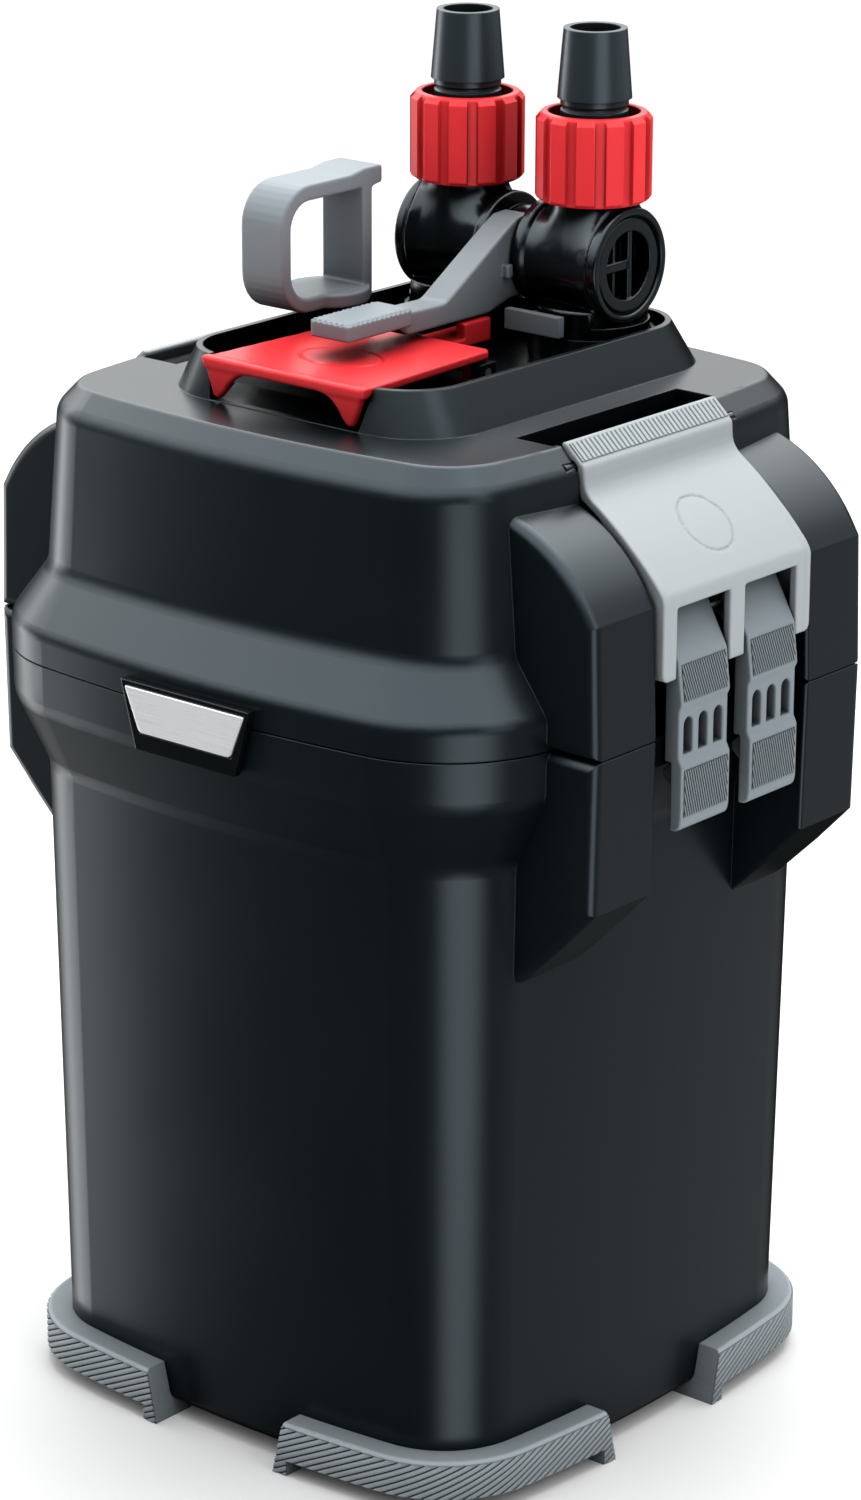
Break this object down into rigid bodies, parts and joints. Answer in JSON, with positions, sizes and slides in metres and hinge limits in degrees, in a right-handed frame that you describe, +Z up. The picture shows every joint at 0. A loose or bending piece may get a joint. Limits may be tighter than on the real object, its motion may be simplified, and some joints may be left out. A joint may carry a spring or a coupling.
{
  "type": "canister filter",
  "caption": "Square external aquarium canister filter with a side-clamped motor head, rubber feet, priming pump and a lift-off twin hose valve with a lever.",
  "frame": {"origin": "centre of the footprint on the floor", "axes": "+Z up towards the hose connectors; -Y is the front with the badge; the clamps are at +X and -X"},
  "size_m": [0.218, 0.193, 0.3775],
  "materials": {
    "charcoal_plastic": "semi-gloss moulded dark blue-grey plastic",
    "inner_plastic": "satin moulded plastic",
    "black_plastic": "glossy moulded plastic",
    "light_grey_plastic": "satin moulded plastic",
    "mid_grey_plastic": "satin moulded plastic",
    "foot_rubber": "fine ribbed soft rubber",
    "red_plastic": "semi-gloss moulded plastic",
    "badge_metal": "brushed",
    "steel": "ground stainless steel",
    "seal_rubber": "smooth rubber",
    "potting": "cast resin",
    "white_plastic": "satin moulded plastic",
    "ferrite": "sintered ferrite",
    "foam": "open-cell foam",
    "ceramic_rings": "packed porous ceramic",
    "carbon": "packed granules"
  },
  "bodies": {
    "canister": {"canister_body": "charcoal_plastic", "foot_front_right": "foot_rubber", "foot_rear_right": "foot_rubber", "foot_front_left": "foot_rubber", "foot_rear_left": "foot_rubber", "media_basket_lower": "inner_plastic", "media_basket_upper": "inner_plastic", "basket_cover": "inner_plastic", "ceramic_media": "ceramic_rings", "carbon_media": "carbon", "foam_frame": "inner_plastic", "foam_pad_coarse": "foam", "foam_pad_fine": "foam"},
    "head": {"head_cover": "charcoal_plastic", "head_base": "inner_plastic", "head_seal": "seal_rubber", "head_screws": "steel", "motor_stator": "potting", "rotor_well": "inner_plastic", "rotor_shaft": "steel", "shaft_bush_upper": "seal_rubber", "shaft_bush_lower": "seal_rubber", "impeller_cover": "inner_plastic", "primer_cylinder": "inner_plastic", "badge_carrier": "black_plastic", "badge_plate": "badge_metal", "cable_gland": "black_plastic", "clamp_pin_right": "steel", "clamp_pin_left": "steel", "latch_pin": "steel"},
    "impeller": {"rotor_magnet": "ferrite", "impeller_vanes": "white_plastic"},
    "primer": {"primer_handle": "mid_grey_plastic", "primer_rod": "black_plastic", "primer_piston": "white_plastic", "primer_seal": "seal_rubber"},
    "clamp_right": {"clamp_shell_right": "light_grey_plastic", "tab_pin_right": "steel"},
    "clamp_left": {"clamp_shell_left": "light_grey_plastic", "tab_pin_left": "steel"},
    "tabs_right": {"clamp_tabs_right": "light_grey_plastic"},
    "tabs_left": {"clamp_tabs_left": "light_grey_plastic"},
    "valve": {"valve_body": "black_plastic", "valve_end_cap_right": "black_plastic", "valve_end_cap_left": "black_plastic", "port_seals": "seal_rubber", "latch_bar": "mid_grey_plastic", "hose_connector_right": "black_plastic", "hose_connector_left": "black_plastic"},
    "lever": {"valve_lever": "mid_grey_plastic", "valve_spindle": "black_plastic", "valve_drum_right": "black_plastic", "valve_drum_left": "black_plastic"},
    "nut_right": {"lock_nut_right": "red_plastic"},
    "nut_left": {"lock_nut_left": "red_plastic"},
    "latch": {"latch_plate": "red_plastic"}
  },
  "joints": [
    {"name": "head_lift", "type": "slide", "parent": "canister", "child": "head", "axis": [0, 0, 1], "range_m": [0, 0.06]},
    {"name": "clamp_right_swing", "type": "hinge", "parent": "head", "child": "clamp_right", "pos_m": [0.0765, 0, 0.281], "axis": [0, -1, 0], "range_deg": [0, 80.5]},
    {"name": "clamp_left_swing", "type": "hinge", "parent": "head", "child": "clamp_left", "pos_m": [-0.0765, 0, 0.281], "axis": [0, 1, 0], "range_deg": [0, 80.5]},
    {"name": "tabs_right_pull", "type": "hinge", "parent": "clamp_right", "child": "tabs_right", "pos_m": [0.097, 0, 0.241], "axis": [0, -1, 0], "range_deg": [0, 12]},
    {"name": "tabs_left_pull", "type": "hinge", "parent": "clamp_left", "child": "tabs_left", "pos_m": [-0.097, 0, 0.241], "axis": [0, 1, 0], "range_deg": [0, 12]},
    {"name": "impeller_spin", "type": "hinge", "parent": "head", "child": "impeller", "pos_m": [0.022, -0.014, 0.24], "axis": [0, 0, 1], "continuous": true},
    {"name": "primer_pull", "type": "slide", "parent": "head", "child": "primer", "axis": [0, 0, 1], "range_m": [0, 0.045]},
    {"name": "valve_lift_off", "type": "slide", "parent": "head", "child": "valve", "axis": [0, 0, 1], "range_m": [0, 0.045]},
    {"name": "lever_raise", "type": "hinge", "parent": "valve", "child": "lever", "pos_m": [0, 0.0443, 0.3143], "axis": [-1, 0, 0], "range_deg": [0, 80]},
    {"name": "nut_right_turn", "type": "hinge", "parent": "valve", "child": "nut_right", "pos_m": [0.0222, 0.0443, 0.343], "axis": [0, 0, 1], "continuous": true},
    {"name": "nut_left_turn", "type": "hinge", "parent": "valve", "child": "nut_left", "pos_m": [-0.0222, 0.0443, 0.343], "axis": [0, 0, 1], "continuous": true},
    {"name": "latch_press", "type": "hinge", "parent": "head", "child": "latch", "pos_m": [0, -0.0048, 0.2926], "axis": [-1, 0, 0], "range_deg": [0, 6]}
  ],
  "couplings": [
    {"joint": "clamp_right_swing", "follows": "head_lift", "rad_per_m": 23.271},
    {"joint": "clamp_left_swing", "follows": "head_lift", "rad_per_m": 23.271}
  ]
}
